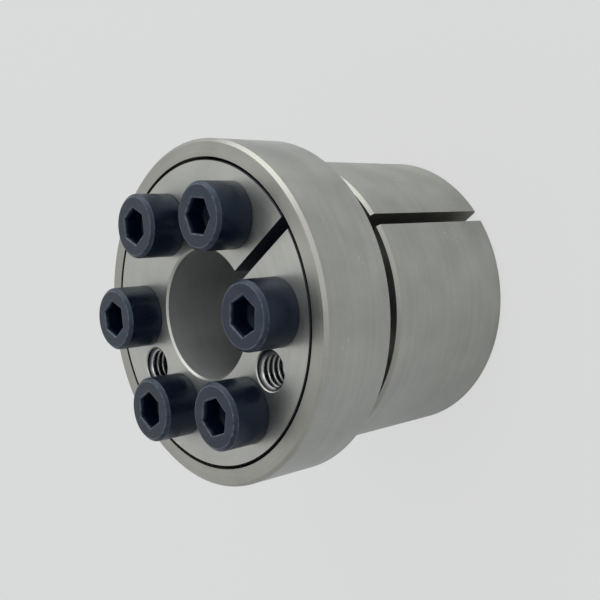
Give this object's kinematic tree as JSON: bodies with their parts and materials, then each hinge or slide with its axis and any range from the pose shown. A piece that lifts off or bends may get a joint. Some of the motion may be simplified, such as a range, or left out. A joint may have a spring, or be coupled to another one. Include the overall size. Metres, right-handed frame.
{
  "type": "keyless locking assembly",
  "caption": "Keyless shaft-to-hub lock: a slit tapered inner ring and outer sleeve, drawn together by socket head cap screws against a closed spacer ring.",
  "frame": {"origin": "centre of the outer sleeve's rear face, on which the set stands", "axes": "+Z along the shaft axis towards the screw heads; +X through the axis of locking screw 1"},
  "size_m": [0.053, 0.053, 0.05],
  "materials": {
    "sleeve_steel": "fine turned outside, satin",
    "inner_ring_steel": "faced and ground, satin, with faint turning marks",
    "spacer_ring_steel": "fine turned outside, satin",
    "black_oxide_steel": "black oxide, half gloss, lightly oiled"
  },
  "bodies": {
    "sleeve": {"outer_sleeve": "sleeve_steel"},
    "clamping_rings": {"inner_ring": "inner_ring_steel", "spacer_ring": "spacer_ring_steel"},
    "screw_1": {"locking_screw_1": "black_oxide_steel"},
    "screw_2": {"locking_screw_2": "black_oxide_steel"},
    "screw_3": {"locking_screw_3": "black_oxide_steel"},
    "screw_4": {"locking_screw_4": "black_oxide_steel"},
    "screw_5": {"locking_screw_5": "black_oxide_steel"},
    "screw_6": {"locking_screw_6": "black_oxide_steel"}
  },
  "joints": [
    {"name": "ring_draw_in", "type": "slide", "parent": "sleeve", "child": "clamping_rings", "axis": [0, 0, -1], "range_m": [-0.002, 0.001]},
    {"name": "screw_1_turn", "type": "hinge", "parent": "clamping_rings", "child": "screw_1", "pos_m": [0.0165, 0, 0.044], "axis": [0, 0, -1], "range_deg": [-720, 360]},
    {"name": "screw_2_turn", "type": "hinge", "parent": "clamping_rings", "child": "screw_2", "pos_m": [0.00825, 0.01429, 0.044], "axis": [0, 0, -1], "range_deg": [-720, 360]},
    {"name": "screw_3_turn", "type": "hinge", "parent": "clamping_rings", "child": "screw_3", "pos_m": [-0.00825, 0.01429, 0.044], "axis": [0, 0, -1], "range_deg": [-720, 360]},
    {"name": "screw_4_turn", "type": "hinge", "parent": "clamping_rings", "child": "screw_4", "pos_m": [-0.0165, 0, 0.044], "axis": [0, 0, -1], "range_deg": [-720, 360]},
    {"name": "screw_5_turn", "type": "hinge", "parent": "clamping_rings", "child": "screw_5", "pos_m": [-0.00825, -0.01429, 0.044], "axis": [0, 0, -1], "range_deg": [-720, 360]},
    {"name": "screw_6_turn", "type": "hinge", "parent": "clamping_rings", "child": "screw_6", "pos_m": [0.00825, -0.01429, 0.044], "axis": [0, 0, -1], "range_deg": [-720, 360]}
  ],
  "couplings": [
    {"joint": "screw_1_turn", "follows": "ring_draw_in", "rad_per_m": 6283.2},
    {"joint": "screw_2_turn", "follows": "ring_draw_in", "rad_per_m": 6283.2},
    {"joint": "screw_3_turn", "follows": "ring_draw_in", "rad_per_m": 6283.2},
    {"joint": "screw_4_turn", "follows": "ring_draw_in", "rad_per_m": 6283.2},
    {"joint": "screw_5_turn", "follows": "ring_draw_in", "rad_per_m": 6283.2},
    {"joint": "screw_6_turn", "follows": "ring_draw_in", "rad_per_m": 6283.2}
  ]
}
